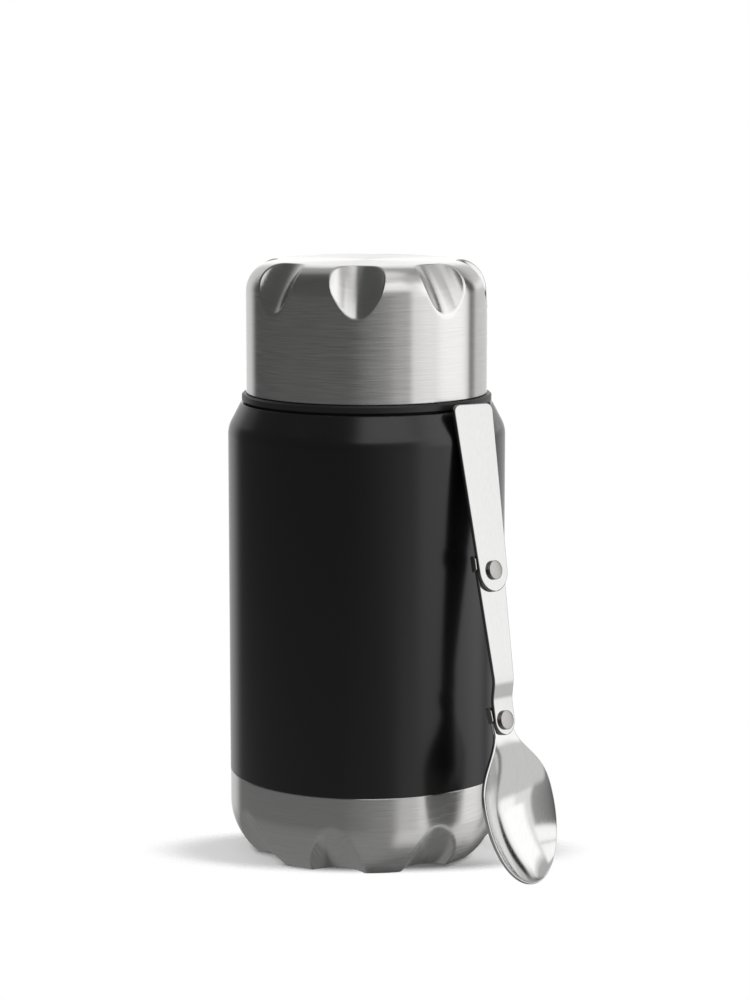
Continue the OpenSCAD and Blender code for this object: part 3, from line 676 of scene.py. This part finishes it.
def ear(name, node, body, y, half_w, low, high, turn=0):
    """The stop ear beside a rivet: a foot on the strip, and a lip with round corners beside the
    next strip."""
    inner = -half_w - EAR_GAP
    end = y + EAR_L
    lip = [(y + EAR_BEND, low)] + arc((y + EAR_BEND, low + EAR_BEND), EAR_BEND, 270, 180, count=4)
    lip += arc((y + EAR_CROWN, high - EAR_CROWN), EAR_CROWN, 180, 90, count=6)
    lip += [(end - EAR_CROWN, high)]
    lip += arc((end - EAR_CROWN, high - EAR_CROWN), EAR_CROWN, 90, 0, count=6)
    lip += arc((end - EAR_BEND, low + EAR_BEND), EAR_BEND, 0, -90, count=4)
    points = [(x, along, n) for x in (inner, inner - EAR_T) for along, n in lip]
    count = len(lip)
    faces = [tuple(reversed(range(count))), tuple(range(count, 2 * count))]
    faces += [(k, (k + 1) % count, count + (k + 1) % count, count + k) for k in range(count)]
    piece = add_mesh(name, points, faces, POLISHED)
    form = bmesh.new()
    form.from_mesh(piece.data)
    # The foot's top lies just below the strip's, so that the two don't share a face
    foot_top = low + SPOON_T - 0.02
    corners = [form.verts.new(Vector((x, along, n)) * MM)
               for x in (inner - EAR_T / 2, -half_w * EAR_FOOT)
               for along in (y, end) for n in (low, foot_top)]
    for square in ((0, 1, 3, 2), (4, 6, 7, 5), (0, 4, 5, 1), (2, 3, 7, 6), (1, 5, 7, 3), (0, 2, 6, 4)):
        form.faces.new([corners[k] for k in square])
    bmesh.ops.recalc_face_normals(form, faces=form.faces)
    form.to_mesh(piece.data)
    form.free()
    soften(piece, 0.3)
    paint_shade_on_sides(piece)
    lean(piece, node, body, turn)


def bowl():
    """The spoon's bowl: an egg-shaped hollow that runs out into a flat neck with a round end."""
    wide = BOWL_L / 2
    neck = NECK_W / 2
    tip = -LOWER_RIVET_Y
    columns = 40
    # How late the edge draws in to the neck, how far the deepest place moves towards the neck, and
    # how full the hollow is
    late, shift, fullness = 1.45, 0.9, 0.9
    # The share of the hollow's length, from the tip, at which it is deepest
    deepest = 0.5 ** (1 / shift)

    def bell(share):
        """Falls from 1 to 0 with a level start and end."""
        return 0.5 + 0.5 * math.cos(math.pi * share)

    def half(y):
        y -= tip
        if y < wide:
            return BOWL_W / 2 * math.sqrt(max(0, 1 - (1 - y / wide) ** 2))
        if y < BOWL_L:
            return neck + (BOWL_W / 2 - neck) * bell((y / wide - 1) ** late)
        return math.sqrt(max(0, neck ** 2 - max(0, y + tip) ** 2))

    def rim(y):
        return SPOON_T + (TIP_RISE - SPOON_T) * max(0, 1 - (y - tip) / BOWL_L) ** 2

    tip_rows = 44
    rows = [tip + wide * (1 - math.cos(math.pi / 2 * i / tip_rows)) for i in range(tip_rows)]
    rows += steps(tip + wide, tip + BOWL_L, 50) + steps(tip + BOWL_L, 0, 4)[1:] + round_end(0, neck, 1)
    edge = [Vector((half(y), y)) for y in rows]
    # Outwards in the plane of the rim, at each row of the right side
    outwards = []
    for i, point in enumerate(edge):
        before = edge[i - 1] if i else Vector((-edge[1].x, edge[1].y))
        after = edge[i + 1] if i + 1 < len(edge) else Vector((-edge[-2].x, edge[-2].y))
        way = after - before
        outwards.append(Vector((way.y, -way.x)).normalized())

    def skin(inset, drop):
        """A sheet over the hollow, from its edge that is inset to both sides."""
        sheet = []
        for y, point, out in zip(rows, edge, outwards):
            x_in, y_in = point - out * inset
            share = min(1, max(0, (y_in - tip - inset) / (BOWL_L - inset)))
            if share < deepest:
                hollow = BOWL_DEPTH * math.sin(math.pi * share ** shift) ** fullness
            else:
                hollow = BOWL_DEPTH * bell((share - deepest) / (1 - deepest))
            for k in range(columns + 1):
                u = -math.cos(math.pi * k / columns)
                depth = drop + hollow * (1 - u * u) ** fullness
                sheet.append((max(0, x_in) * u, y_in, rim(y) - depth))
        return sheet

    # The rim's section, as (inset, drop) from the top's edge to the outer skin's: a lip, a round
    # and a straight side with a small chamfer
    lip, roll = 0.5, 0.45
    section = [(lip, 0)] + [(roll * (1 - math.sin(a)), roll * (1 - math.cos(a)))
                            for a in (math.radians(d) for d in range(0, 91, 18))]
    section += [(0, SPOON_T * 0.8), (0.04, SPOON_T * 0.93), (0.12, SPOON_T)]
    top, under = skin(lip, 0), skin(section[-1][0], SPOON_T)
    points = top + under
    width = columns + 1
    faces = []
    for i in range(len(rows) - 1):
        for k in range(columns):
            square = (i * width + k, i * width + k + 1, (i + 1) * width + k + 1, (i + 1) * width + k)
            faces += [square, tuple(len(top) + v for v in reversed(square))]
    for side in (1, -1):
        strip = []
        for y, point, out in zip(rows, edge, outwards):
            strip.append([len(points) + j for j in range(len(section))])
            for inset, drop in section:
                place = point - out * inset
                points.append((side * max(0, place.x), place.y, rim(y) - drop))
        for low, high in zip(strip, strip[1:]):
            for j in range(len(section) - 1):
                face = (low[j], low[j + 1], high[j + 1], high[j])
                faces.append(face if side > 0 else tuple(reversed(face)))
    piece = add_mesh("polished_bowl", points, faces, BOWL_STEEL)
    weld(piece, 0.002)
    drill(piece, 0, SPOON_T / 2)
    piece.data.shade_smooth()
    lean(piece, "spoon_bowl", "spoon_bowl", BOWL_FOLD)
    ear("polished_bowl_ear", "spoon_bowl", "spoon_bowl", 0, neck, 0, LAYER + EAR_LAP, BOWL_FOLD)


def middle_link():
    """The middle link: narrow at the bowl, stepped forward, and wider towards the upper rivet."""
    low, high = NECK_W / 2, MIDDLE_W / 2
    step_end = JOGGLE_Y + JOGGLE_L

    def half(y):
        if y < 0:
            return math.sqrt(max(0, low ** 2 - y ** 2))
        if y > RIVET_SPAN:
            return math.sqrt(max(0, high ** 2 - (y - RIVET_SPAN) ** 2))
        return low + (high - low) * max(0, y - step_end) / (RIVET_SPAN - step_end)

    def height(y):
        share = min(1, max(0, (y - JOGGLE_Y + JOGGLE_SOFT) / (JOGGLE_L + 2 * JOGGLE_SOFT)))
        return LAYER + JOGGLE_H * share * share * (3 - 2 * share)

    folds = steps(JOGGLE_Y - JOGGLE_SOFT, step_end + JOGGLE_SOFT, 20)
    rows = round_end(0, low, -1) + [0] + folds + [RIVET_SPAN] + round_end(RIVET_SPAN, high, 1)
    piece = plate("polished_middle_link", rows, folds, half, height)
    drill(piece, 0, LAYER)
    drill(piece, RIVET_SPAN, MIDDLE_LEVEL)
    soften(piece)
    paint_shade_on_sides(piece)
    lean(piece, "middle_link", "spoon_middle")
    # The upper link's half width at the ear's end, where it meets the ear
    stopped = UPPER_W / 2 + (UPPER_END_W - UPPER_W) / 2 * EAR_L / (UPPER_L - UPPER_CORNER_R)
    ear("polished_link_ear", "middle_link", "spoon_middle", RIVET_SPAN, stopped, MIDDLE_LEVEL,
        UPPER_LEVEL + EAR_LAP)


def upper_link():
    """The flat end link, wider towards its free end."""
    low, high = UPPER_W / 2, UPPER_END_W / 2
    corner_r = UPPER_CORNER_R
    corner_y = RIVET_SPAN + UPPER_L - corner_r

    def half(y):
        if y < RIVET_SPAN:
            return math.sqrt(max(0, low ** 2 - (y - RIVET_SPAN) ** 2))
        if y > corner_y:
            return high - corner_r + math.sqrt(max(0, corner_r ** 2 - (y - corner_y) ** 2))
        return low + (high - low) * (y - RIVET_SPAN) / (corner_y - RIVET_SPAN)

    rows = round_end(RIVET_SPAN, low, -1) + [RIVET_SPAN, corner_y]
    rows += round_end(corner_y, corner_r, 1, count=8)
    piece = plate("polished_upper_link", rows, [], half, lambda y: UPPER_LEVEL)
    drill(piece, RIVET_SPAN, UPPER_LEVEL)
    soften(piece)
    paint_shade_on_sides(piece)
    lean(piece, "upper_link", "spoon_end")


def rivet(name, node, y, low, high):
    """A rivet through the strips between low and high, with a slightly domed head in front and a
    set tail behind."""
    edge = RIVET_EDGE
    head_r, tail_r = RIVET_HEAD_R, RIVET_HEAD_R - edge
    tail, head = low - RIVET_TAIL_H, high + RIVET_HEAD_H
    rim = head - RIVET_DOME - edge
    profile = [(0, tail)] + line((0, tail), (tail_r - edge, tail), step=1)
    profile += arc((tail_r - edge, tail + edge), edge, -90, 0, count=5)
    profile += line((tail_r, tail + edge), (tail_r, low), step=0.3)
    profile += line((tail_r, low), (RIVET_R, low), step=0.5)
    profile += line((RIVET_R, low), (RIVET_R, high), step=0.8)
    profile += line((RIVET_R, high), (head_r - edge / 2, high), step=0.6)
    profile += arc((head_r - edge / 2, high + edge / 2), edge / 2, -90, 0, count=4)
    profile += line((head_r, high + edge / 2), (head_r, rim), step=0.3)
    profile += arc((head_r - edge, rim), edge, 0, 70, count=6)
    profile += [((head_r - edge) * (1 - s), head - RIVET_DOME * (1 - s) ** 2)
                for s in steps(0.1, 1, 9)]
    piece = turned(name, profile, 64, RIVET_STEEL)
    # The rivet's sides and the rim of its dome take the dark edge steel too: a painted dark outline of
    # shade
    paint_shade_on_sides(piece, flat=0.7)
    piece.data.transform(Matrix.Translation(Vector((0, y, 0)) * MM))
    lean(piece, node, "spoon_middle")


cap()
base()
shell()
bowl()
middle_link()
upper_link()
rivet("lower_rivet_head", "lower_rivet", 0, -RIVET_GAP, LAYER + SPOON_T)
rivet("upper_rivet_head", "upper_rivet", RIVET_SPAN, MIDDLE_LEVEL, UPPER_LEVEL + SPOON_T + RIVET_GAP)


# ---------------------------------------------------------------- studio
# What matt surfaces see all round, and what glossy ones see between the panels
AMBIENT = 0.45
ROOM = 0.09
# Panels that the glossy surfaces see. Azimuth runs from the front towards +X and elevation up from
# the horizon. Each panel has the middle, half width and softness of its azimuth, the lowest and
# highest elevation with their softness, all in degrees, and its level.
PANELS = {
    "floor, left": (-65, 115, 20, -90, -11, 6, 0.25),
    "floor, near": (60, 90, 20, -90, -11, 6, 0.29),
    "floor, right": (85, 48, 12, -40, -10, 6, 0.82),
    "floor, right front": (45, 22, 8, -47, -10, 7, 0.82),
    "floor, far right": (100, 14, 8, -46, -30, 6, 0.7),
    "front wall": (100, 90, 45, -24, 25, 8, 0.48),
    "overhead panel": (21, 29, 6, 21, 56, 3, 1.45),
    "between the panels": (62, 55, 20, 40, 74, 8, 0.6),
    "softbox": (77, 35.5, 5, -16, 49, 6, 1.08),
    "softbox's middle": (90, 28, 18, -16, 42, 9, 1.45),
    "softbox's upper half": (78, 31, 14, -1, 45, 4, 1.55),
    "side wall": (139, 15, 3, -20, 28, 6, 0.75),
    "side wall's middle": (139, 15, 5, 0, 13, 4, 1.2),
    "backdrop's near side": (180, 44, 10, -20, 35, 8, 0.76),
    "backdrop": (180, 16, 8, -20, 44, 6, 1.27),
    "ceiling, left": (-90, 90, 30, 72, 90, 5, 0.3),
    "ceiling, right": (90, 90, 25, 68, 90, 4, 1.05),
    "upper backdrop": (180, 58, 12, 12, 90, 8, 0.45),
}
# Dark gaps between the panels, in the same form
GAPS = {
    "shade beside the jar": (90, 52, 20, -90, -46, 5, 0.18),
    "beside the softbox": (118, 3.5, 2, -30, 6, 8, 0.25),
    "beside the softbox, higher": (118, 6.5, 3, 0, 33, 5, 0.03),
    "frame over the softbox": (10, 36, 4, 35, 36.2, 0.8, 0.3),
}


def studio():
    """The world: white to the camera, an even light to matt surfaces, and panels to glossy ones."""
    world = bpy.data.worlds.new("studio")
    bpy.context.scene.world = world
    world.use_nodes = True
    tree = world.node_tree
    tree.nodes.clear()
    direction = add(tree, "ShaderNodeTexCoord").outputs["Generated"]
    x, y, z = add(tree, "ShaderNodeSeparateXYZ", {0: direction}).outputs
    known = work_out(tree, {"x": x, "y": y, "z": z}, (
        ("towards the front", "MULTIPLY", "y", -1),
        ("azimuth", "ARCTAN2", "x", "towards the front"),
        ("azimuth", "DEGREES", "azimuth"),
        ("elevation", "ARCSINE", "z"),
        ("elevation", "DEGREES", "elevation"),
    ))

    def inside(middle, half, soft, low, high, blur, level=1):
        """The level inside a panel, which falls to 0 over its soft edges."""
        work_out(tree, known, (
            ("off", "SUBTRACT", "azimuth", middle),
            ("off", "WRAP", "off", 180, -180),
            ("off", "ABSOLUTE", "off"),
        ))
        for name, start, end in (("off", half + soft, half - soft), ("elevation", low - blur, low + blur),
                                 ("elevation", high + blur, high - blur)):
            feeds = {"Value": known[name], "From Min": start, "From Max": end, "To Max": level}
            level = add(tree, "ShaderNodeMapRange", feeds, interpolation_type="SMOOTHSTEP").outputs[0]
        return level

    # A Mix node's numbers are its inputs 2 and 3
    light = ROOM
    for panel in PANELS.values():
        light = add(tree, "ShaderNodeMath", {0: light, 1: inside(*panel)}, operation="MAXIMUM").outputs[0]
    for *gap, level in GAPS.values():
        light = add(tree, "ShaderNodeMix", {0: inside(*gap), 2: light, 3: level}).outputs[0]
    light_path = add(tree, "ShaderNodeLightPath").outputs
    seen = add(tree, "ShaderNodeMix", {0: light_path["Is Glossy Ray"], 2: AMBIENT, 3: light}).outputs[0]
    seen = add(tree, "ShaderNodeMix", {0: light_path["Is Camera Ray"], 2: seen, 3: 1}).outputs[0]
    background = add(tree, "ShaderNodeBackground", {"Color": (1, 1, 1, 1), "Strength": seen})
    add(tree, "ShaderNodeOutputWorld", {0: background.outputs[0]})


# The floor's ellipse: how far its middle lies in front of the jar's axis, how many times it is
# wider than deep, and the half widths between which it fades, in millimetres
FLOOR_MIDDLE = 9.5
FLOOR_STRETCH = 2.6
FLOOR_FADE = (56, 80)


def floor():
    """A white floor that keeps the shadow near the jar and fades into the backdrop round it."""
    material, tree, shader = finish("white_floor", "#E6E6E6", 0, 0.9)
    shader.inputs["Specular IOR Level"].default_value = 0
    place = add(tree, "ShaderNodeTexCoord").outputs["Object"]
    feeds = {"Vector": place, "Location": (0, FLOOR_STRETCH * FLOOR_MIDDLE * MM, 0),
             "Scale": (1, FLOOR_STRETCH, 1)}
    round_place = add(tree, "ShaderNodeMapping", feeds).outputs[0]
    distance = add(tree, "ShaderNodeVectorMath", {0: round_place}, operation="LENGTH").outputs["Value"]
    feeds = {"Value": distance, "From Min": FLOOR_FADE[0] * MM, "From Max": FLOOR_FADE[1] * MM}
    gone = add(tree, "ShaderNodeMapRange", feeds, interpolation_type="SMOOTHSTEP").outputs[0]
    clear = add(tree, "ShaderNodeBsdfTransparent").outputs[0]
    mixed = add(tree, "ShaderNodeMixShader", {0: gone, 1: shader.outputs[0], 2: clear}).outputs[0]
    tree.links.new(mixed, tree.nodes["Material Output"].inputs[0])
    size = 350
    corners = [(-size, -size, 0), (size, -size, 0), (size, size, 0), (-size, size, 0)]
    piece = add_mesh("floor", corners, [(0, 1, 2, 3)], material)
    piece.visible_glossy = False


def lamp(name, place, size, power):
    """A softbox that points at the middle of the jar."""
    light = bpy.data.lights.new(name, "AREA")
    light.shape = "SQUARE"
    light.size = size
    light.energy = power
    holder = new_object(name, light)
    holder.location = place
    aim = Vector((0, 0, 0.1)) - Vector(place)
    holder.rotation_euler = aim.to_track_quat("-Z", "Y").to_euler()
    holder.visible_glossy = False


def camera():
    """A long lens, nearly a metre in front of the jar and a little above it."""
    lens = bpy.data.cameras.new("camera")
    lens.sensor_fit = "VERTICAL"
    lens.sensor_height = 36
    lens.lens = 100.82
    tilt = 8.66
    holder = new_object("camera", lens)
    holder.location = (0.00285, -0.9536, 0.2668)
    holder.rotation_euler = (math.radians(90 - tilt), 0, 0)
    bpy.context.scene.camera = holder


studio()
floor()
lamp("left_softbox", (-0.75, -0.25, 0.95), size=0.5, power=9)
lamp("right_softbox", (0.75, -0.25, 0.95), size=0.5, power=9)
camera()
bpy.context.scene.view_settings.view_transform = "Standard"
